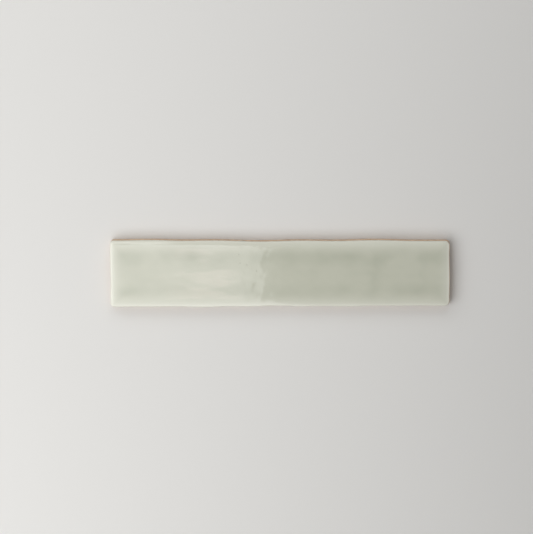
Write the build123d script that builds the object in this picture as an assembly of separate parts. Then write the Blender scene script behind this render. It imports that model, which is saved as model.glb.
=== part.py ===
from build123d import *
import math
import os

# Driving dimensions, in millimetres. +X runs along the tile and +Z points out of the glazed face.
LENGTH = 250.0
WIDTH = 50.0
THICKNESS = 10.0

# Plan outline: cut by hand, so the +X end is narrower and blunter and the walls lean in
NARROWING = 1.4
SHARP_CORNER_RADIUS = 2.4
BLUNT_CORNER_RADIUS = 3.4
WALL_LEAN = 0.6

# No edge is straight: a long edge has a slow bow with a ripple on it, and an end has a ripple
FRONT_BOW = 0.23
FRONT_BOW_PITCH = 100.0
FRONT_RIPPLE = 0.2
FRONT_RIPPLE_PITCH = 36.0
BACK_BOW = 0.36
BACK_BOW_PITCH = 180.0
BACK_RIPPLE = 0.25
BACK_RIPPLE_PITCH = 58.0
END_RIPPLE = 0.2
END_RIPPLE_PITCH = 38.0

# Glazed face: rolls off towards every edge, dips in a shallow gutter beside each long margin,
# and undulates from hand pressing in two crossing waves
MARGIN_WIDTH = 5.5
MARGIN_DROP = 0.7
GUTTER_INSET = 11.5
GUTTER_SPREAD = 6.5
GUTTER_DEPTH = 0.1
FACE_WAVE = 0.032
FACE_WAVE_PITCH = 62.0
FACE_WAVE_SLANT = 0.5

# Rims: a soft glazed arris above and a slightly worn edge round the bed
ARRIS_RADIUS = 0.9
BED_EDGE_RADIUS = 0.4

# Where each wave stands at the middle of its edge or of the face, in shares of a turn
FRONT_BOW_TURN = 0.78
FRONT_RIPPLE_TURN = 0.81
BACK_BOW_TURN = 0.85
BACK_RIPPLE_TURN = 0.98
RIGHT_TURN = 0.35
LEFT_TURN = 0.85
BED_TURN = 0.06
ALONG_TURN = 0.96
ACROSS_TURN = 0.1

# The walls and the block that cuts them run on past the tile, in shares of its thickness
WALL_REACH = 1.5
BLOCK_REACH = 2.0

# Points that carry a curve, for each ripple of an edge and for each margin of the face,
# and how closely and smoothly the face follows its points
POINTS_PER_RIPPLE = 5
POINTS_PER_MARGIN = 2
FACE_TOLERANCE = 0.001
FACE_DEGREE_LEAST = 3
FACE_DEGREE_MOST = 5

X_WAY = Vector(1, 0, 0)
Y_WAY = Vector(0, 1, 0)
Z_WAY = Vector(0, 0, 1)


def fade(t):
    """1 along most of an edge, falling to 0 with no slope at both ends."""
    return (1 - (2 * t - 1) ** 6) ** 2


def ease(t):
    """Goes from 0 to 1 with no slope at either end."""
    return t * t * (3 - 2 * t)


def wave(distance, height, pitch, turn):
    """A sine wave of the given height and pitch, moved on by a share of a turn."""
    return height * math.sin(2 * math.pi * (distance / pitch + turn))


def front_edge(x, turn):
    """How far the front edge stands out from its straight line."""
    bow = wave(x, FRONT_BOW, FRONT_BOW_PITCH, FRONT_BOW_TURN)
    return bow + wave(x, FRONT_RIPPLE, FRONT_RIPPLE_PITCH, FRONT_RIPPLE_TURN + turn)


def back_edge(x, turn):
    """How far the back edge stands out from its straight line."""
    bow = wave(x, BACK_BOW, BACK_BOW_PITCH, BACK_BOW_TURN)
    return bow + wave(x, BACK_RIPPLE, BACK_RIPPLE_PITCH, BACK_RIPPLE_TURN + turn)


def right_edge(y, turn):
    """How far the narrower end stands out from its straight line."""
    return wave(y, END_RIPPLE, END_RIPPLE_PITCH, RIGHT_TURN + turn)


def left_edge(y, turn):
    """How far the wider end stands out from its straight line."""
    return wave(y, END_RIPPLE, END_RIPPLE_PITCH, LEFT_TURN + turn)


def wavy_spline(start, along, outward, run, step_out, pitch, shift):
    """A spline that leaves and arrives along its own direction, with waves in between."""
    count = max(2, math.ceil(POINTS_PER_RIPPLE * run / pitch))
    points = []
    for i in range(count + 1):
        t = i / count
        point = start + along * (t * run)
        place = abs(along.X) * point.X + abs(along.Y) * point.Y
        points.append(point + outward * (step_out * ease(t) + fade(t) * shift(place)))
    return Spline(points, tangents=[along, along])


def outline(height, turn):
    """The closed plan outline at a height over the bed, where the walls have leaned in."""
    inset = WALL_LEAN * height / THICKNESS
    half_length = LENGTH / 2 - inset
    left_half = WIDTH / 2 - inset
    right_half = left_half - NARROWING / 2
    sharp = SHARP_CORNER_RADIUS
    blunt = BLUNT_CORNER_RADIUS
    long_run = 2 * half_length - sharp - blunt
    step = NARROWING / 2
    front = wavy_spline(
        Vector(sharp - half_length, -left_half, height),
        X_WAY, -Y_WAY, long_run, -step, FRONT_RIPPLE_PITCH, lambda x: front_edge(x, turn),
    )
    right = wavy_spline(
        Vector(half_length, blunt - right_half, height),
        Y_WAY, X_WAY, 2 * (right_half - blunt), 0, END_RIPPLE_PITCH, lambda y: right_edge(y, turn),
    )
    back = wavy_spline(
        Vector(half_length - blunt, right_half, height),
        -X_WAY, Y_WAY, long_run, step, BACK_RIPPLE_PITCH, lambda x: back_edge(x, turn),
    )
    left = wavy_spline(
        Vector(-half_length, left_half - sharp, height),
        -Y_WAY, -X_WAY, 2 * (left_half - sharp), 0, END_RIPPLE_PITCH, lambda y: left_edge(y, turn),
    )
    front_right = JernArc(front @ 1, X_WAY, blunt, 90)
    back_right = JernArc(right @ 1, Y_WAY, blunt, 90)
    back_left = JernArc(back @ 1, -X_WAY, sharp, 90)
    front_left = JernArc(left @ 1, -Y_WAY, sharp, 90)
    return Wire([front, front_right, right, back_right, back, back_left, left, front_left])


def roll_off(distance):
    """How far the face has dropped at a distance in from an edge."""
    return MARGIN_DROP * max(0.0, 1 - distance / MARGIN_WIDTH) ** 2


def gutter(distance):
    """How far the face dips at a distance in from a long edge, in a bell-shaped hollow."""
    return GUTTER_DEPTH * math.exp(-(((distance - GUTTER_INSET) / GUTTER_SPREAD) ** 2))


def face_height(x, y):
    """Height of the glazed face over the bed: the roll-off at four edges, two gutters and two waves."""
    along = min(1.0, max(0.0, x / LENGTH + 0.5))
    half_length = LENGTH / 2 - WALL_LEAN
    half_width = WIDTH / 2 - WALL_LEAN - NARROWING / 2 * ease(along)
    ends = roll_off(half_length - x) + roll_off(half_length + x)
    sides = roll_off(half_width - y) + roll_off(half_width + y)
    gutters = gutter(half_width - y) + gutter(half_width + y)
    along_wave = wave(x + FACE_WAVE_SLANT * y, FACE_WAVE, FACE_WAVE_PITCH, ALONG_TURN)
    across_wave = wave(y - FACE_WAVE_SLANT * x, FACE_WAVE, FACE_WAVE_PITCH, ACROSS_TURN)
    return THICKNESS - ends - sides - gutters + along_wave + across_wave


def face_block():
    """Everything below the undulating face, reaching a margin past the tile on all sides."""
    x_reach = LENGTH / 2 + MARGIN_WIDTH
    y_reach = WIDTH / 2 + MARGIN_WIDTH
    spacing = MARGIN_WIDTH / POINTS_PER_MARGIN
    x_count = math.ceil(2 * x_reach / spacing)
    y_count = math.ceil(2 * y_reach / spacing)
    rows = []
    for i in range(x_count + 1):
        x = x_reach * (2 * i / x_count - 1)
        row = []
        for j in range(y_count + 1):
            y = y_reach * (2 * j / y_count - 1)
            row.append(Vector(x, y, face_height(x, y)))
        rows.append(row)
    face = Face.make_surface_from_array_of_points(
        rows, tol=FACE_TOLERANCE, min_deg=FACE_DEGREE_LEAST, max_deg=FACE_DEGREE_MOST
    )
    return Solid.extrude(face, -BLOCK_REACH * THICKNESS * Z_WAY)


def tile():
    """The leaning, wavy walls cut off by the undulating face, with both rims softened."""
    top = outline(WALL_REACH * THICKNESS, 0)
    walls = Solid.make_loft([outline(0, BED_TURN), top], ruled=True)
    body = walls & face_block()
    face = body.faces().sort_by(Axis.Z)[-1]
    body = fillet(face.edges(), ARRIS_RADIUS)
    bed = body.faces().sort_by(Axis.Z)[0]
    body = fillet(bed.edges(), BED_EDGE_RADIUS)
    box = body.bounding_box()
    return Pos(-box.center().X, -box.center().Y, -box.min.Z) * body


os.makedirs("parts", exist_ok=True)
export_step(tile(), "parts/tile.step")
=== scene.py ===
import math

import bpy
import numpy as np
from mathutils import Matrix, Vector


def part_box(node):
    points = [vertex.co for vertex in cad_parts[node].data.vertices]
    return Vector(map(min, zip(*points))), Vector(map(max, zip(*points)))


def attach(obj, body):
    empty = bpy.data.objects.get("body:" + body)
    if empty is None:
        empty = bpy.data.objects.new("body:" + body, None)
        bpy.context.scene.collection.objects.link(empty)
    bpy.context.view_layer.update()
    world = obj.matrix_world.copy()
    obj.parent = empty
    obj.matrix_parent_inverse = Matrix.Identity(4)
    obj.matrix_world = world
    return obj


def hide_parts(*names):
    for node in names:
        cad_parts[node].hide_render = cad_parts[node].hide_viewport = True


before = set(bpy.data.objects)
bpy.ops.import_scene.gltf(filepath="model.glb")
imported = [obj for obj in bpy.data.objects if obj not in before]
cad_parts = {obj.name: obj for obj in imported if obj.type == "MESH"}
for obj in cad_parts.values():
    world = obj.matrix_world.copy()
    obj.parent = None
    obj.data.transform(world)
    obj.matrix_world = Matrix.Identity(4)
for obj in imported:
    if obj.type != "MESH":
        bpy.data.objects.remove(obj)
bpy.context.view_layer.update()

# Tile, in millimetres: +X runs along it and +Z points out of the glazed face
LENGTH = 250.0
WIDTH = 50.0
THICKNESS = 10.0
NARROWING = 1.4
SHARP_CORNER_RADIUS = 2.4
BLUNT_CORNER_RADIUS = 3.4
BED_EDGE_RADIUS = 0.4

# Walls: how far they lean in over the thickness, and how many thicknesses up their top outline stands
WALL_LEAN = 0.6
WALL_REACH = 1.5

# Waves along each edge: height, pitch and the share of a turn at the middle
FRONT_BOW = (0.23, 100.0, 0.78)
FRONT_RIPPLE = (0.2, 36.0, 0.81)
BACK_BOW = (0.36, 180.0, 0.85)
BACK_RIPPLE = (0.25, 58.0, 0.98)
RIGHT_RIPPLE = (0.2, 38.0, 0.35)
LEFT_RIPPLE = (0.2, 38.0, 0.85)

# How far the ripples round the bed are moved on, as a share of a turn
BED_TURN = 0.06

# Margins of the glazed face: they roll off, and a wave makes the back one drop by more or less
MARGIN_WIDTH = 5.5
MARGIN_DROP = 0.7
BACK_SWELL = (0.34, 200.0, 0.3)

# Two gutters in the face, with a low ridge between them
GUTTER_INSET = 11.5
GUTTER_SPREAD = 6.5
GUTTER_DEPTH = 0.1

# Two slow crossing waves of the face, from hand pressing
FACE_WAVE = 0.032
FACE_WAVE_PITCH = 62.0
FACE_WAVE_SLANT = 0.5
ALONG_TURN = 0.96
ACROSS_TURN = 0.1

# A ripple just inside the rim, and the bell that bounds it
RIM_RIPPLE = 0.02
RIM_RIPPLE_PITCH = 2.7
RIM_RIPPLE_INSET = 2.7
RIM_RIPPLE_SPREAD = 2.4

# Ways that waves travel: an angle from the Y axis, and the most by which they slant from it
ANY_WAY = (0.0, math.pi)
STREAK_WAY = (0.0, 0.4)
WRINKLE_WAY = (math.pi / 2, 0.9)

# Fine unevenness of the glaze: typical slope, shortest and longest pitch, how many waves, seed and way
DIMPLES = (0.005, 10.0, 30.0, 14, 5, ANY_WAY)
STREAKS = (0.01, 4.5, 17.0, 12, 8, STREAK_WAY)
WRINKLES = (0.0036, 4.0, 10.0, 14, 9, WRINKLE_WAY)

# Mottling of the pooled glaze: shortest and longest pitch, how many waves and seed
BLOTCHES = (16.0, 60.0, 20, 463)
PATCHES = (6.0, 15.0, 20, 3384)

# Where glaze gathered beside each edge: strength, distance in and width
FRONT_LANE = (0.65, GUTTER_INSET, 4.0)
BACK_LANE = (1.0, GUTTER_INSET, 5.5)
LEFT_POOL = (1.0, 11.0, 8.0)
RIGHT_POOL = (0.2, 11.0, 9.0)

# Two faint streaks of deeper glaze across the tile: strength, place along it and width
CROSS_STREAKS = ((0.2, 70.0, 3.0), (0.13, 105.0, 3.5))

# How far the patches bend those streaks, and their middle and reach across the tile
CROSS_BEND = 0.9
CROSS_MIDDLE = 2.0
CROSS_REACH = 16.0

# Depth of the pooled glaze in the lanes, where ends deepen it, and over the face, with its mottling
LANE_POOL = 0.36
LANE_BLOTCH = 0.1
LANE_END_POOL = 0.12
FACE_POOL = 0.04
FACE_BLOTCH = 0.05
FACE_PATCH = 0.03

# Paleness of the glaze over the left, right, front and back margins, and more of it at their rims; the rim
# shares are partly painted light, set by side for how the light falls: a painted highlight along the left
# and front rims, and painted shade that keeps the back rim barely pale
MARGIN_PALENESS = (0.45, 0.45, 0.45, 0.5)
MARGIN_FADE = (5.5, 5.5, 5.5, 5.9)
RIM_PALENESS_AND_PAINTED_LIGHT = (0.55, 0.5, 0.4, 0.08)
RIM_FADE = 1.6

# Glaze at the edge: rounded arris, then a skin that ends in a bead on the wall
ARRIS_REACH = 0.66
GLAZE_SKIN = 0.2
BEAD_HEIGHT = 0.55
BEAD_LIP = 0.07

# How far the glaze runs down each side
GLAZE_RUN = {"front": 3.0, "back": 1.8, "left": 3.4, "right": 1.6}

# How uneven that is, and the noises that make it so: strength, size and seed
RUN_UNEVENNESS = 0.8
RUN_NOISES = ((1.3, 17.0, 21), (0.7, 5.0, 22))

# One drip of glaze on the back wall
BACK_DRIP_X = -27.0
DRIP_DEPTH = 2.8
DRIP_WIDTH = 2.2

# Thinness of the glaze: worn through over the arris of the right end, and half worn at the bead
RIGHT_ARRIS_WEAR = 1.0
WEAR_POWER = 0.7
HALF_WORN = 0.5

# Relief of the bare clay: drag marks from cutting, lumps and pits, each noise with a size and a seed
DRAG_NOISE = (0.7, 3)
DRAG_STRETCH = (0.12, 0.12, 1.0)
LUMP_NOISE = (2.6, 4)
DRAG_SHARE = 0.6
DRAG_DEPTH = 0.14
PIT_NOISE = (1.5, 6)
PIT_LEVEL = 0.72
PIT_DEPTH = 0.22

# Share of the way down the clay over which its relief comes in
RELIEF_ONSET = 0.25

# Mesh: cells along and across the face, how much finer they are at corners, and rings down the edge
CELLS_ALONG = 420
CELLS_ACROSS = 80
CORNER_FINENESS = 0.35
ARRIS_RINGS = 6
SKIN_RINGS = 6
BEAD_RINGS = 6
CLAY_RINGS = 17
BED_EDGE_RINGS = 4

# How often the height of the edge is worked out again
EDGE_ROUNDS = 4

# Whole numbers that scatter the values at the corners of a lattice
HASH_STEPS = (73856093, 19349663, 83492791)
HASH_SEED_STEP = 2654435
HASH_STIR = 1274126177
HASH_SHIFTS = (13, 16)
WORD = 0xFFFFFFFF
HALF_WORD = 0xFFFF

# Camera: aimed beside the tile's middle as the photograph is framed, tipped to +X and +Y
IMAGE_WIDTH = 533
IMAGE_HEIGHT = 534
PIXELS_PER_MM = 1.364
TILE_MIDDLE_PIXEL = (279.4, 273.9)
CAMERA_DISTANCE = 1.4
CAMERA_TIP_X = math.radians(2.2)
CAMERA_TIP_Y = math.radians(5.5)
CAMERA_ROLL = math.radians(-0.29)
SENSOR_WIDTH = 36.0

# Softbox, in metres: a point of its inner edge, and how far behind that it ends; radiance 1 is white
SOFTBOX_HEIGHT = 0.75
SOFTBOX_SIZE = (1.35, 1.05)
SOFTBOX_EDGE = (-0.043, -0.075)
SOFTBOX_END = 0.22
SOFTBOX_TURN = math.radians(5)
SOFTBOX_RADIANCE = 2.65

# Inner edge of the softbox: a dim rim, and shares of its radiance with the distances over which they rise
SOFTBOX_RIM = 0.026
SOFTBOX_RISES = ((0.18, -SOFTBOX_RIM, 0.0), (0.58, -0.001, 0.001), (0.24, 0.0, 0.022))

# How wide the far and front rims of the softbox fade
SOFTBOX_SOFTNESS = 0.3

# Lamp that glows through the softbox: its place, its reach each way and the share that is its core
LAMP = (-0.105, -0.08, SOFTBOX_HEIGHT)
LAMP_REACH = (0.06, 0.03, 1.0)
LAMP_CORE = 0.3
LAMP_RADIANCE = 1.5
LAMP_COLOUR = (1, 0.9, 0.905, 1)

# Dimmer panel behind the tile, even light from all round, and what shows behind the floor
FILL_CENTRE = (-0.5, 0.78, 0.58)
FILL_SIZE = (1.6, 0.85)
FILL_RADIANCE = 1.25
SURROUND = 0.29
BACKGROUND = 0.7

MM = 0.001


def ease(t):
    """Goes from 0 to 1 with no slope at either end: three squares less two cubes."""
    return t * t * (3 - 2 * t)


def fade(t):
    """1 along most of an edge, falling to 0 with no slope at both ends: 1 less a sixth power, squared."""
    return (1 - (2 * t - 1) ** 6) ** 2


def wave(distance, height, pitch, turn):
    """A sine wave of the given height and pitch, moved on by a share of a turn."""
    return height * np.sin(2 * math.pi * (distance / pitch + turn))


def bell(distance, width):
    """1 at no distance, falling to 0 past the width: e to the power of minus their squared ratio."""
    return np.exp(-((distance / width) ** 2))


def mound(distance, strength, place, width):
    """A bell of the given strength and width about a place."""
    return strength * bell(distance - place, width)


def plane_waves(x, y, heights, pitches, seed, way):
    """A sum of sine waves with the given heights and pitches, in seeded directions and turns."""
    heading, slant = way
    draw = np.random.default_rng(seed)
    angle = heading + draw.uniform(-slant, slant, len(pitches))
    turn = draw.uniform(0, 1, len(pitches))
    travel = x[..., None] * np.sin(angle) + y[..., None] * np.cos(angle)
    return wave(travel, heights, pitches, turn).sum(-1)


def unevenness(x, y, slope, shortest, longest, count, seed, way):
    """Plane waves that all have the same slope."""
    pitches = np.geomspace(shortest, longest, count)
    heights = slope * pitches / (2 * math.pi) / math.sqrt(count)
    return plane_waves(x, y, heights, pitches, seed, way)


def mottle(x, y, shortest, longest, count, seed):
    """Plane waves that all have the same height, with a spread of 1 about 0."""
    pitches = np.geomspace(shortest, longest, count)
    heights = np.full(count, math.sqrt(2 / count))
    return plane_waves(x, y, heights, pitches, seed, ANY_WAY)


def scatter(keys, seed):
    """A hashed share from 0 to 1 for each whole-number point, the same one every time."""
    steps = keys * np.array(HASH_STEPS)
    mixed = steps[..., 0] ^ steps[..., 1] ^ steps[..., 2] ^ seed * HASH_SEED_STEP
    mixed = (mixed ^ (mixed >> HASH_SHIFTS[0])) * HASH_STIR & WORD
    return ((mixed ^ (mixed >> HASH_SHIFTS[1])) & HALF_WORD) / HALF_WORD


def lattice_noise(points, size, seed):
    """Smooth noise from 0 to 1 in space: scattered values at the corners of cubes, eased in between."""
    cell = np.floor(points / size).astype(np.int64)
    part = ease(points / size - cell)
    total = np.zeros(points.shape[:-1])
    for corner in np.ndindex(2, 2, 2):
        weight = np.where(np.array(corner), part, 1 - part).prod(-1)
        total += weight * scatter(cell + np.array(corner), seed)
    return total


def edge_shares(cells):
    """Shares from 0 to 1 along a side, closer together towards both ends: even ones less a sine."""
    t = np.linspace(0, 1, cells + 1)
    return t - CORNER_FINENESS * np.sin(2 * math.pi * t) / (2 * math.pi)


def edge_waves(turn, ripple, *bows):
    """How far an edge stands out at each place along it: its ripple, moved on by a turn, and its bows."""
    height, pitch, start = ripple

    def shift(place):
        return wave(place, height, pitch, start + turn) + sum(wave(place, *bow) for bow in bows)

    return shift


def side(start, along, run, step, radii, shift, share):
    """One side of the plan, from the middle of one rounded corner to the middle of the next.

    By length it is half a corner arc, the edge with its eased step and its waves, and half an arc.
    """
    start = np.array(start)
    along = np.array(along)
    outward = np.array([along[1], -along[0]])
    first_arc, last_arc = (math.pi / 4 * radius for radius in radii)
    distance = share * (first_arc + run + last_arc) - first_arc
    t = np.clip(distance / run, 0, 1)
    straight = start + np.outer(t * run, along)
    waved = step * ease(t) + fade(t) * shift(straight @ np.abs(along))
    lead = np.clip(-distance, 0, None) / radii[0]
    tail = np.clip(distance - run, 0, None) / radii[1]
    forward = radii[1] * np.sin(tail) - radii[0] * np.sin(lead)
    inward = radii[0] * (1 - np.cos(lead)) + radii[1] * (1 - np.cos(tail))
    return straight + np.outer(forward, along) + np.outer(waved - inward, outward)


def outline(height, turn):
    """The four sides of the plan at a height over the bed, where the walls have leaned in."""
    inset = WALL_LEAN * height / THICKNESS
    half_length = LENGTH / 2 - inset
    left_half = WIDTH / 2 - inset
    right_half = left_half - NARROWING / 2
    sharp = SHARP_CORNER_RADIUS
    blunt = BLUNT_CORNER_RADIUS
    long_run = 2 * half_length - sharp - blunt
    step = NARROWING / 2
    long_share = edge_shares(CELLS_ALONG)
    short_share = edge_shares(CELLS_ACROSS)
    front = side(
        (sharp - half_length, -left_half), (1, 0), long_run, -step,
        (sharp, blunt), edge_waves(turn, FRONT_RIPPLE, FRONT_BOW), long_share,
    )
    right = side(
        (half_length, blunt - right_half), (0, 1), 2 * (right_half - blunt), 0,
        (blunt, blunt), edge_waves(turn, RIGHT_RIPPLE), short_share,
    )
    back = side(
        (half_length - blunt, right_half), (-1, 0), long_run, step,
        (blunt, sharp), edge_waves(turn, BACK_RIPPLE, BACK_BOW), long_share,
    )
    left = side(
        (-half_length, left_half - sharp), (0, -1), 2 * (left_half - sharp), 0,
        (sharp, sharp), edge_waves(turn, LEFT_RIPPLE), short_share,
    )
    return np.concatenate([front[:-1], right[:-1], back[:-1], left[:-1]])


def outward_of(loop):
    """Unit vectors square to a closed loop that runs anticlockwise, pointing out of it."""
    ahead = np.roll(loop, -1, 0) - np.roll(loop, 1, 0)
    square = np.stack([ahead[:, 1], -ahead[:, 0]], 1)
    return square / np.linalg.norm(square, axis=1, keepdims=True)


# Outlines of the walls at the bed and above the face, and the way out at each of their points
BED_LOOP = outline(0, BED_TURN)
TOP_LOOP = outline(WALL_REACH * THICKNESS, 0)
OUTWARD = outward_of(TOP_LOOP)


def wall(height):
    """Plan points of the wall at a height for each point round it: a straight line from bed to top."""
    share = (height / (WALL_REACH * THICKNESS))[..., None]
    return BED_LOOP + (TOP_LOOP - BED_LOOP) * share


def ring(height, offset):
    """Points round the tile on the wall at each height, moved out by an offset."""
    height, offset = np.broadcast_arrays(height, offset)
    plan = wall(height) + OUTWARD * offset[..., None]
    return np.concatenate([plan, height[..., None]], -1)


def shares(count):
    """Evenly spaced shares from just above 0 to 1, as a column."""
    return (np.arange(1, count + 1) / count)[:, None]


def edge_distances(x, y):
    """How far a point lies in from the left, right, front and back edges of the face."""
    half_length = LENGTH / 2 - WALL_LEAN
    narrowing = NARROWING / 2 * ease(np.clip(x / LENGTH + 0.5, 0, 1))
    half_width = WIDTH / 2 - WALL_LEAN - narrowing
    return half_length + x, half_length - x, half_width + y, half_width - y


def face_height(x, y):
    """Height of the face: margins dropping by a squared share, bell-shaped gutters, slow and fine waves.

    The back margin drops by more or less along the tile, and a ripple under a bell runs inside the rim.
    """
    left, right, front, back = edge_distances(x, y)
    swell = 1 + wave(x, *BACK_SWELL)
    drop = sum(
        MARGIN_DROP * share * np.clip(1 - distance / MARGIN_WIDTH, 0, None) ** 2
        for distance, share in ((left, 1), (right, 1), (front, 1), (back, swell))
    )
    dip = bell(front - GUTTER_INSET, GUTTER_SPREAD) + bell(back - GUTTER_INSET, GUTTER_SPREAD)
    slow = wave(x + FACE_WAVE_SLANT * y, FACE_WAVE, FACE_WAVE_PITCH, ALONG_TURN)
    slow = slow + wave(y - FACE_WAVE_SLANT * x, FACE_WAVE, FACE_WAVE_PITCH, ACROSS_TURN)
    fine = sum(unevenness(x, y, *recipe) for recipe in (DIMPLES, STREAKS, WRINKLES))
    nearest = np.minimum.reduce([left, right, front, back])
    rim = wave(nearest, RIM_RIPPLE, RIM_RIPPLE_PITCH, 0)
    rim = rim * bell(nearest - RIM_RIPPLE_INSET, RIM_RIPPLE_SPREAD)
    return THICKNESS - drop - GUTTER_DEPTH * dip + slow + fine + rim


def face_grid(loop):
    """Plan points over the whole face, blended from its four boundary curves.

    Each point is the two straight blends of facing curves, less the blend of the four corners.
    """
    along = edge_shares(CELLS_ALONG)[:, None, None]
    across = edge_shares(CELLS_ACROSS)[None, :, None]
    closed = np.concatenate([loop, loop[:1]])
    turns = np.cumsum([0, CELLS_ALONG, CELLS_ACROSS, CELLS_ALONG, CELLS_ACROSS])
    front, right, back, left = (closed[a:b + 1] for a, b in zip(turns[:-1], turns[1:]))
    back = back[::-1]
    left = left[::-1]
    facing = (1 - across) * front[:, None] + across * back[:, None]
    facing = facing + (1 - along) * left[None] + along * right[None]
    corners = (1 - along) * ((1 - across) * front[0] + across * back[0])
    corners = corners + along * ((1 - across) * front[-1] + across * back[-1])
    return facing - corners


def edge_height():
    """Height of the sharp edge all round: the face's height where the wall is at the last height."""
    edge = np.full(len(TOP_LOOP), THICKNESS - MARGIN_DROP)
    for _ in range(EDGE_ROUNDS):
        edge = face_height(*wall(edge).T)
    return edge


def arris_rings(edge):
    """The line on the face where the arris starts, and its rings: a curve of the second degree.

    The curve runs from that line to one on the wall, with the sharp edge as its middle control point.
    """
    sharp = ring(edge, 0)
    inner = sharp[:, :2] - OUTWARD * ARRIS_REACH
    inner = np.concatenate([inner, face_height(*inner.T)[:, None]], 1)
    lower = ring(edge - ARRIS_REACH, 0)
    q = shares(ARRIS_RINGS)[..., None]
    return inner, (1 - q) ** 2 * inner + 2 * q * (1 - q) * sharp + q ** 2 * lower


def glaze_run():
    """How far the glaze comes down the wall round the tile.

    The depth of each side counts by the square of how far the wall faces that way. What of it lies between
    arris and bead is multiplied by e to the power of smooth noise. The drip is a bell with a cube in place
    of its square.
    """
    x, y = TOP_LOOP.T
    out_x, out_y = OUTWARD.T
    facing = {"front": -out_y, "back": out_y, "left": -out_x, "right": out_x}
    run = sum(GLAZE_RUN[name] * np.clip(share, 0, 1) ** 2 for name, share in facing.items())
    spread = run - ARRIS_REACH - BEAD_HEIGHT
    around = np.stack([x, y, np.zeros_like(x)], -1)
    uneven = sum(strength * (lattice_noise(around, *noise) - 0.5) for strength, *noise in RUN_NOISES)
    drip = DRIP_DEPTH * np.exp(-np.abs((x - BACK_DRIP_X) / DRIP_WIDTH) ** 3) * np.clip(out_y, 0, 1)
    return ARRIS_REACH + BEAD_HEIGHT + spread * np.exp(RUN_UNEVENNESS * uneven) + drip


def glaze_rings(edge, run):
    """The skin straight down the wall, and the bead: a squared sine less an eased step to the clay."""
    t = shares(SKIN_RINGS)
    depth = ARRIS_REACH + (run - BEAD_HEIGHT - ARRIS_REACH) * t
    skin = ring(edge - depth, 0)
    t = shares(BEAD_RINGS)
    depth = run - BEAD_HEIGHT + BEAD_HEIGHT * t
    lip = BEAD_LIP * np.sin(math.pi * t) ** 2 - GLAZE_SKIN * ease(t)
    bead = ring(edge - depth, lip)
    return np.concatenate([skin, bead])


def clay_relief(points):
    """How far the bare clay lies inside its smooth wall.

    Noise drawn out round the tile makes drag marks and even noise makes lumps, blended by a share.
    A third noise makes pits where it is over a level.
    """
    drag = lattice_noise(points * np.array(DRAG_STRETCH), *DRAG_NOISE)
    lumps = lattice_noise(points, *LUMP_NOISE)
    pits = np.clip(lattice_noise(points, *PIT_NOISE) - PIT_LEVEL, 0, None) / (1 - PIT_LEVEL)
    return DRAG_DEPTH * (DRAG_SHARE * drag + (1 - DRAG_SHARE) * lumps) + PIT_DEPTH * pits


def clay_rings(edge, run):
    """The bare wall, eased out from under the glaze, and a quarter circle that turns under to the bed."""
    t = shares(CLAY_RINGS)
    height = (edge - run) * (1 - t) + BED_EDGE_RADIUS * t
    smooth = -GLAZE_SKIN * (1 - ease(t))
    relief = clay_relief(ring(height, smooth)) * ease(np.clip(t / RELIEF_ONSET, 0, 1))
    clay = ring(height, smooth - relief)
    turn = shares(BED_EDGE_RINGS) * math.pi / 2
    height = BED_EDGE_RADIUS * (1 - np.sin(turn))
    bed_edge = ring(height, -BED_EDGE_RADIUS * (1 - np.cos(turn)) - relief[-1])
    return np.concatenate([clay, bed_edge])


def glaze_thinness():
    """How thin the glaze is on each of its rings, from 0 for a full coat to 1 for bare clay.

    At the right end it wears through over the arris, by a power of the share of the way over it, and
    less so further down. All round it thins towards the bead, by the square of the share of the way.
    """
    worn = RIGHT_ARRIS_WEAR * np.clip(OUTWARD[:, 0], 0, 1) ** 2
    arris = worn * shares(ARRIS_RINGS) ** WEAR_POWER
    down = shares(SKIN_RINGS + BEAD_RINGS)
    return np.concatenate([arris, np.maximum(worn * (1 - down), HALF_WORN * down ** 2)])


def pool_depth(x, y):
    """Where melted glaze has gathered, from 0 to 1.

    A lane beside each long edge is deeper at its ends, two bent streaks cross the tile, and mottling
    changes the depth of the lanes and of the whole face.
    """
    left, right, front, back = edge_distances(x, y)
    blotch = mottle(x, y, *BLOTCHES)
    patch = mottle(x, y, *PATCHES)
    lanes = mound(front, *FRONT_LANE) + mound(back, *BACK_LANE)
    ends = mound(left, *LEFT_POOL) + mound(right, *RIGHT_POOL)
    cross = sum(mound(x + CROSS_BEND * patch, *streak) for streak in CROSS_STREAKS)
    depth = lanes * (LANE_POOL + LANE_BLOTCH * blotch + LANE_END_POOL * ends)
    depth = depth + cross * bell(y - CROSS_MIDDLE, CROSS_REACH)
    depth = depth + FACE_POOL + FACE_BLOTCH * blotch + FACE_PATCH * patch
    return np.clip(depth, 0, 1)


def margin_paleness_and_painted_light(x, y):
    """How pale the face is where glaze drew away from an edge, with painted highlight and painted shade at
    the rims: a wide bell and a narrow one at the rim.

    The strongest of the four edges counts.
    """
    edges = zip(edge_distances(x, y), MARGIN_PALENESS, MARGIN_FADE, RIM_PALENESS_AND_PAINTED_LIGHT)
    pale = []
    for distance, margin, margin_fade, rim in edges:
        inside = np.clip(distance, 0, None)
        # The narrow rim bell is partly painted light, stronger or weaker by side
        pale.append(margin * bell(inside, margin_fade) + rim * bell(inside, RIM_FADE))
    return np.maximum.reduce(pale)


def fit_to_frame(points, node):
    """Moves and sizes points, in millimetres, so that their box is the box of a node of the frame."""
    low, high = (np.array(corner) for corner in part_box(node))
    own_low = points.min(0)
    own_high = points.max(0)
    return low + (points - own_low) * (high - low) / (own_high - own_low)


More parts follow.
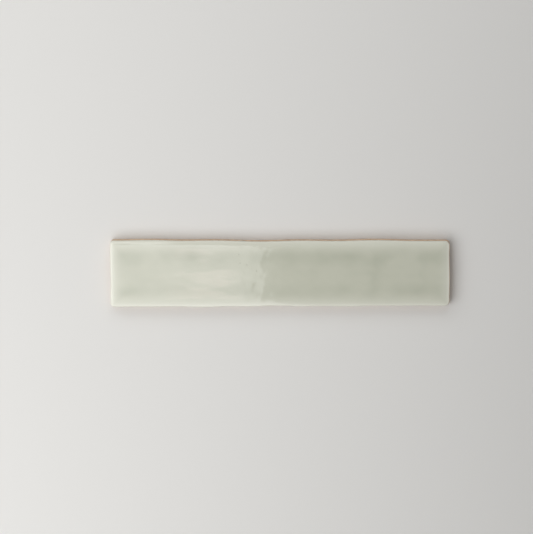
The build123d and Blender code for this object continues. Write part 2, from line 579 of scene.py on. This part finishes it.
def stitch(grid_shape, ring_count):
    """Point numbers of the quads of the face, of the quads down the edge and of the bed.

    The points of the face grid come first, then those of each ring from the face down.
    """
    number = np.arange(grid_shape[0] * grid_shape[1]).reshape(grid_shape)
    rim = np.concatenate([number[:-1, 0], number[-1, :-1], number[:0:-1, -1], number[0, :0:-1]])
    rings = number.size + np.arange(ring_count * len(rim)).reshape(-1, len(rim))
    stack = np.concatenate([rim[None], rings])
    ahead = np.roll(stack, -1, 1)
    face_quads = np.stack([number[:-1, :-1], number[1:, :-1], number[1:, 1:], number[:-1, 1:]], -1)
    edge_quads = np.stack([stack[:-1], stack[1:], ahead[1:], ahead[:-1]], -1)
    return face_quads.reshape(-1, 4), edge_quads.reshape(-1, 4), stack[-1, ::-1]


def carry(mesh, name, numbers):
    """Gives the mesh a number at each of its points, for a material to read."""
    layer = mesh.attributes.new(name, "FLOAT", "POINT")
    layer.data.foreach_set("value", numbers.astype(np.float32))


def fired_tile():
    """One closed mesh: the face grid, the rings round its edge and the flat bed."""
    edge = edge_height()
    run = glaze_run()
    inner, arris = arris_rings(edge)
    glaze = glaze_rings(edge, run)
    rings = np.concatenate([arris, glaze, clay_rings(edge, run)])
    x, y = np.moveaxis(face_grid(inner[:, :2]), -1, 0)
    face = np.stack([x, y, face_height(x, y)], -1).reshape(-1, 3)
    points = np.concatenate([face, rings.reshape(-1, 3)])
    face_quads, edge_quads, bed = stitch(x.shape, len(rings))
    polygons = [*face_quads.tolist(), *edge_quads.tolist(), bed.tolist()]
    glazed = (len(arris) + len(glaze)) * len(bed)

    mesh = bpy.data.meshes.new("fired_tile")
    mesh.from_pydata(fit_to_frame(points, "tile").tolist(), [], polygons)
    place = np.arange(len(polygons))
    bare = place >= len(face_quads) + glazed
    mesh.polygons.foreach_set("material_index", bare.astype(np.int32))
    mesh.polygons.foreach_set("use_smooth", place < len(polygons) - 1)

    thin = np.zeros(len(points))
    thin[len(face):len(face) + glazed] = glaze_thinness().ravel()
    carry(mesh, "pool", pool_depth(points[:, 0], points[:, 1]))
    # The margin field is the paleness of thinner glaze, with painted highlight and painted shade at the
    # rims
    carry(mesh, "margin", margin_paleness_and_painted_light(points[:, 0], points[:, 1]))
    carry(mesh, "thin", thin)
    tile = bpy.data.objects.new("fired_tile", mesh)
    bpy.context.collection.objects.link(tile)
    mesh.materials.append(sage_glaze())
    mesh.materials.append(bare_clay())
    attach(tile, "root")
    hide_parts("tile")


WHITE = (1, 1, 1, 1)
SEEN_RAYS = ("Camera", "Glossy", "Transmission")

# Specks: how far noise stirs them, in radii, and a least size in millimetres
SPECK_STIR = 2.0
SPECK_LEAST = 0.001

# Chances between which a speck grows to full size, and shares of its size between which it fades
SPECK_CHANCE = (0.25, 0.85)
SPECK_FADE = (0.5, 1.0)


class Value:
    """A number or colour that comes out of a socket; arithmetic on it adds Math nodes."""

    def __init__(self, shader, socket):
        self.shader = shader
        self.socket = socket

    def __add__(self, other):
        return self.shader.math("ADD", self, other)

    __radd__ = __add__

    def __sub__(self, other):
        return self.shader.math("SUBTRACT", self, other)

    def __rsub__(self, other):
        return self.shader.math("SUBTRACT", other, self)

    def __mul__(self, other):
        return self.shader.math("MULTIPLY", self, other)

    __rmul__ = __mul__

    def __truediv__(self, other):
        return self.shader.math("DIVIDE", self, other)


class Shader:
    """The nodes of one material, light or world."""

    def __init__(self, owner):
        owner.use_nodes = True
        self.tree = owner.node_tree
        self.tree.nodes.clear()

    def node(self, kind, settings=(), sockets=(), output=0):
        """Adds a node: its settings first, then the values or links of its sockets."""
        made = self.tree.nodes.new(kind)
        for name, setting in dict(settings).items():
            setattr(made, name, setting)
        for name, value in dict(sockets).items():
            if isinstance(value, Value):
                self.tree.links.new(value.socket, made.inputs[name])
            else:
                made.inputs[name].default_value = value
        return Value(self, made.outputs[output]) if made.outputs else None

    def math(self, operation, first, second):
        """One Math node on two numbers."""
        return self.node("ShaderNodeMath", {"operation": operation}, {0: first, 1: second})

    def vector(self, operation, first, second=(0, 0, 0), output=0):
        """One Vector Math node on two vectors."""
        return self.node("ShaderNodeVectorMath", {"operation": operation}, {0: first, 1: second}, output)

    def between(self, value, low, high):
        """0 below the low value, 1 above the high one and eased in between."""
        sockets = {"Value": value, "From Min": low, "From Max": high}
        return self.node("ShaderNodeMapRange", {"interpolation_type": "SMOOTHSTEP"}, sockets)

    def mix(self, share, first, second):
        """Goes from the first colour to the second as the share goes from 0 to 1."""
        return self.node("ShaderNodeMix", {"data_type": "RGBA"}, {0: share, 6: first, 7: second}, 2)

    def place(self):
        """Object coordinates, in metres."""
        return self.node("ShaderNodeTexCoord", output="Object")

    def noise(self, size, detail=2.0, stretch=(1, 1, 1)):
        """Noise from 0 to 1 with features of about the given size in millimetres."""
        vector = self.node("ShaderNodeMapping", sockets={"Vector": self.place(), "Scale": stretch})
        sockets = {"Vector": vector, "Scale": 1 / (size * MM), "Detail": detail}
        return self.node("ShaderNodeTexNoise", sockets=sockets)

    def dot(self, x, y, radius):
        """1 at the middle of a round spot, seen from above, fading to 0 at its radius, in millimetres."""
        flat = self.vector("MULTIPLY", self.place(), (1, 1, 0))
        away = self.vector("DISTANCE", flat, (x * MM, y * MM, 0), "Value")
        return 1 - self.between(away, 0, radius * MM)

    def specks(self, spacing, radius):
        """1 inside scattered specks, one for each cell of about the given spacing, in millimetres.

        Noise stirs the place, which makes them ragged, and each cell's chance gives its speck's size.
        """
        stir = {"Vector": self.place(), "Scale": 1 / (radius * MM)}
        ragged = self.node("ShaderNodeTexNoise", sockets=stir, output="Color")
        ragged = self.vector("SUBTRACT", ragged, (0.5, 0.5, 0.5))
        ragged = self.vector("MULTIPLY", ragged, [SPECK_STIR * radius * MM] * 3)
        spot = self.vector("ADD", self.place(), ragged)
        sockets = {"Vector": spot, "Scale": 1 / (spacing * MM)}
        away = self.node("ShaderNodeTexVoronoi", sockets=sockets, output="Distance")
        chance = self.node("ShaderNodeTexVoronoi", sockets=sockets, output="Color")
        size = radius * self.between(chance, *SPECK_CHANCE)
        return 1 - self.between(away * spacing / (size + SPECK_LEAST), *SPECK_FADE)

    def field(self, name):
        """A number that the mesh carries at each point."""
        return self.node("ShaderNodeAttribute", {"attribute_name": name}, output="Fac")

    def bump(self, height, depth):
        """Tilts the surface as a height from 0 to 1 changes, for a depth in millimetres."""
        return self.node("ShaderNodeBump", sockets={"Height": height, "Distance": depth * MM})

    def principled(self, **sockets):
        """One Principled shader, with sockets named in words."""
        named = {name.replace("_", " "): value for name, value in sockets.items()}
        return self.node("ShaderNodeBsdfPrincipled", sockets=named)

    def seen(self):
        """1 on a ray from the camera, or one that a mirror or clear surface sends on."""
        rays = [self.node("ShaderNodeLightPath", output=f"Is {kind} Ray") for kind in SEEN_RAYS]
        return self.math("MAXIMUM", self.math("MAXIMUM", rays[0], rays[1]), rays[2])

    def glow(self, strength, colour=WHITE):
        """Ends a light in a glow of the given strength and colour."""
        light = self.node("ShaderNodeEmission", sockets={"Color": colour, "Strength": strength})
        self.node("ShaderNodeOutputLight", sockets={"Surface": light})

    def finish(self, surface):
        """Ends a material in its surface."""
        self.node("ShaderNodeOutputMaterial", sockets={"Surface": surface})


# Glaze: colours of a full coat, of pools, over the margins, half worn and worn through
GLAZE_FIELD = (0.507, 0.513, 0.420, 1)
GLAZE_POOL = (0.400, 0.412, 0.325, 1)
GLAZE_MARGIN = (0.73, 0.725, 0.64, 1)
GLAZE_THIN = (0.62, 0.52, 0.40, 1)
GLAZE_BARE = (0.76, 0.55, 0.35, 1)

# Gloss of the glaze: roughness, how much duller it is in patches, and their size in millimetres
GLAZE_IOR = 1.5
GLAZE_ROUGHNESS = 0.018
GLAZE_DULLNESS = 0.02
DULL_PATCH_SIZE = 9.0

# Peel of the glaze, with its size and detail, and a few pinholes, in millimetres
PEEL_NOISE = (2.4, 1.0)
PEEL_DEPTH = 0.003
PINHOLES = ((-29.6, 14.2), (-28.7, 8.0), (-23.7, 6.7), (-16.7, 2.1))
PINHOLE_RADIUS = 0.75
PINHOLE_DEPTH = 0.024
PINHOLE_COLOUR = (0.41, 0.41, 0.33, 1)


def sage_glaze():
    """Glossy pale sage glaze: deeper in colour where it pooled, paler and creamier where it ran thin, with
    painted highlight and painted shade at the rims.
    """
    material = bpy.data.materials.new("sage_glaze")
    shader = Shader(material)
    colour = shader.mix(shader.field("pool"), GLAZE_FIELD, GLAZE_POOL)
    # Paler over the margins for thinner glaze, and at the rims painted highlight and painted shade by side
    colour = shader.mix(shader.field("margin"), colour, GLAZE_MARGIN)
    thin = shader.field("thin")
    colour = shader.mix(shader.between(thin, 0, HALF_WORN), colour, GLAZE_THIN)
    colour = shader.mix(shader.between(thin, HALF_WORN, 1), colour, GLAZE_BARE)
    holes = sum(shader.dot(x, y, PINHOLE_RADIUS) for x, y in PINHOLES)
    peel = shader.noise(*PEEL_NOISE)
    surface = shader.principled(
        Base_Color=shader.mix(holes, colour, PINHOLE_COLOUR),
        Roughness=GLAZE_ROUGHNESS + GLAZE_DULLNESS * shader.noise(DULL_PATCH_SIZE),
        IOR=GLAZE_IOR,
        Normal=shader.bump(peel - PINHOLE_DEPTH / PEEL_DEPTH * holes, PEEL_DEPTH),
    )
    shader.finish(surface)
    return material


# Bare clay: its palest and darkest colours, and its grit
CLAY_PALE = (0.74, 0.56, 0.4, 1)
CLAY_DARK = (0.57, 0.385, 0.25, 1)
CLAY_GRIT = (0.33, 0.2, 0.12, 1)

# Noises for the clay's blotches, grain and drag marks: size in millimetres, detail and stretch
CLAY_BLOTCH = (4.0, 4.0)
CLAY_GRAIN = (0.35, 3.0)
CLAY_DRAG = (0.6, 3.0, (0.08, 0.08, 1))

# Shares of those noises in the clay's tone, and the tones that show as dark and as pale
TONE_SHARES = (0.55, 0.35, 0.1)
TONE_RANGE = (0.37, 0.63)

# Grit of the clay, in millimetres
GRIT_SPACING = 2.6
GRIT_RADIUS = 0.75

# Roughness of the clay and what the grain adds to it, and depth of its bump with the grain's share
CLAY_ROUGHNESS = 0.82
GRAIN_ROUGHNESS = 0.15
CLAY_BUMP_DEPTH = 0.12
GRAIN_BUMP = 0.5


def bare_clay():
    """Matt fired clay: blotched tan, with a fine sandy grain, drag marks and scattered darker grit."""
    material = bpy.data.materials.new("bare_clay")
    shader = Shader(material)
    blotch = shader.noise(*CLAY_BLOTCH)
    grain = shader.noise(*CLAY_GRAIN)
    drag = shader.noise(*CLAY_DRAG)
    tone = sum(share * noise for share, noise in zip(TONE_SHARES, (blotch, grain, drag)))
    colour = shader.mix(shader.between(tone, *TONE_RANGE), CLAY_DARK, CLAY_PALE)
    grit = shader.specks(GRIT_SPACING, GRIT_RADIUS)
    surface = shader.principled(
        Base_Color=shader.mix(grit, colour, CLAY_GRIT),
        Roughness=CLAY_ROUGHNESS + GRAIN_ROUGHNESS * grain,
        Normal=shader.bump(GRAIN_BUMP * grain + drag, CLAY_BUMP_DEPTH),
    )
    shader.finish(surface)
    return material


# Floor, in metres: its size, and the distances between which it goes over into the background
FLOOR_COLOUR = (0.68, 0.672, 0.652, 1)
FLOOR_ROUGHNESS = 0.9
FLOOR_SIZE = 40.0
FLOOR_FADE = (0.29, 0.55)


def floor():
    """A plain pale floor under the tile, which goes over into the background some way off."""
    half = FLOOR_SIZE / 2
    corners = [(-half, -half, 0), (half, -half, 0), (half, half, 0), (-half, half, 0)]
    mesh = bpy.data.meshes.new("floor")
    mesh.from_pydata(corners, [], [(0, 1, 2, 3)])
    ground = bpy.data.objects.new("floor", mesh)
    bpy.context.collection.objects.link(ground)
    material = bpy.data.materials.new("plaster")
    shader = Shader(material)
    away = shader.vector("LENGTH", shader.place(), output="Value")
    far = shader.between(away, *FLOOR_FADE) * shader.seen()
    plaster = shader.principled(Base_Color=FLOOR_COLOUR, Roughness=FLOOR_ROUGHNESS)
    background = shader.node("ShaderNodeEmission", sockets={"Strength": BACKGROUND})
    shader.finish(shader.node("ShaderNodeMixShader", sockets={0: far, 1: plaster, 2: background}))
    mesh.materials.append(material)


def light_panel(name, middle, size, turn=0.0):
    """A rectangular light that faces the floor, with the nodes of its glow; radiance 1 shows as white."""
    light = bpy.data.lights.new(name, "AREA")
    light.shape = "RECTANGLE"
    light.size, light.size_y = size
    light.energy = math.pi * light.size * light.size_y
    lamp = bpy.data.objects.new(name, light)
    lamp.location = middle
    lamp.rotation_euler = (0, 0, turn)
    lamp.visible_camera = False
    bpy.context.collection.objects.link(lamp)
    return Shader(light)


def softbox():
    """One large soft light up to the left, with a lamp glowing through it near its inner edge.

    Its radiance rises in three shares across the inner edge, and fades towards the far and front rims.
    """
    width, depth = SOFTBOX_SIZE
    to_middle = Vector((SOFTBOX_RIM - width / 2, SOFTBOX_END - depth / 2))
    middle = Vector(SOFTBOX_EDGE) + Matrix.Rotation(SOFTBOX_TURN, 2) @ to_middle
    shader = light_panel("softbox", (*middle, SOFTBOX_HEIGHT), SOFTBOX_SIZE, SOFTBOX_TURN)
    spot = shader.node("ShaderNodeNewGeometry", output="Position")
    offset = shader.vector("DIVIDE", shader.vector("SUBTRACT", spot, LAMP), LAMP_REACH)
    lamp = 1 - shader.between(shader.vector("LENGTH", offset, output="Value"), LAMP_CORE, 1)

    offset = shader.vector("SUBTRACT", spot, (*SOFTBOX_EDGE, SOFTBOX_HEIGHT))
    inward = (-math.cos(SOFTBOX_TURN), -math.sin(SOFTBOX_TURN), 0)
    forward = (math.sin(SOFTBOX_TURN), -math.cos(SOFTBOX_TURN), 0)
    inside = shader.vector("DOT_PRODUCT", offset, inward, "Value")
    cover = sum(share * shader.between(inside, start, end) for share, start, end in SOFTBOX_RISES)
    ahead = shader.vector("DOT_PRODUCT", offset, forward, "Value")
    for distance, rim in ((inside, width - SOFTBOX_RIM), (ahead, depth - SOFTBOX_END)):
        cover = cover * (1 - shader.between(distance, rim - SOFTBOX_SOFTNESS, rim))
    colour = shader.mix(lamp, WHITE, LAMP_COLOUR)
    shader.glow(SOFTBOX_RADIANCE * cover + LAMP_RADIANCE * lamp, colour)


def fill():
    """A dimmer panel behind the tile, which keeps the shadow there open."""
    light_panel("fill", FILL_CENTRE, FILL_SIZE).glow(FILL_RADIANCE)


def surroundings():
    """Even light from all round, shown to the camera and to mirror reflections as a pale room."""
    world = bpy.data.worlds.new("surroundings")
    bpy.context.scene.world = world
    shader = Shader(world)
    strength = SURROUND + (BACKGROUND - SURROUND) * shader.seen()
    light = shader.node("ShaderNodeBackground", sockets={"Color": WHITE, "Strength": strength})
    shader.node("ShaderNodeOutputWorld", sockets={"Surface": light})


def camera():
    """Looks almost straight down, with the tile where it stands in the photograph's frame."""
    data = bpy.data.cameras.new("camera")
    focal_pixels = PIXELS_PER_MM / MM * CAMERA_DISTANCE
    data.sensor_width = SENSOR_WIDTH
    data.lens = SENSOR_WIDTH * focal_pixels / max(IMAGE_WIDTH, IMAGE_HEIGHT)
    right = (IMAGE_WIDTH / 2 - TILE_MIDDLE_PIXEL[0]) / PIXELS_PER_MM * MM
    up = (TILE_MIDDLE_PIXEL[1] - IMAGE_HEIGHT / 2) / PIXELS_PER_MM * MM
    target = Vector((right, up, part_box("tile")[1].z))
    back = Vector((math.tan(CAMERA_TIP_X), math.tan(CAMERA_TIP_Y), 1)).normalized()
    across = Vector((0, 1, 0)).cross(back).normalized()
    turn = Matrix((across, back.cross(across), back)).transposed()
    turn = turn @ Matrix.Rotation(CAMERA_ROLL, 3, "Z")
    eye = bpy.data.objects.new("camera", data)
    eye.matrix_world = Matrix.Translation(target + back * CAMERA_DISTANCE) @ turn.to_4x4()
    bpy.context.collection.objects.link(eye)
    bpy.context.scene.camera = eye


fired_tile()
floor()
softbox()
fill()
surroundings()
camera()
bpy.context.scene.view_settings.view_transform = "Standard"
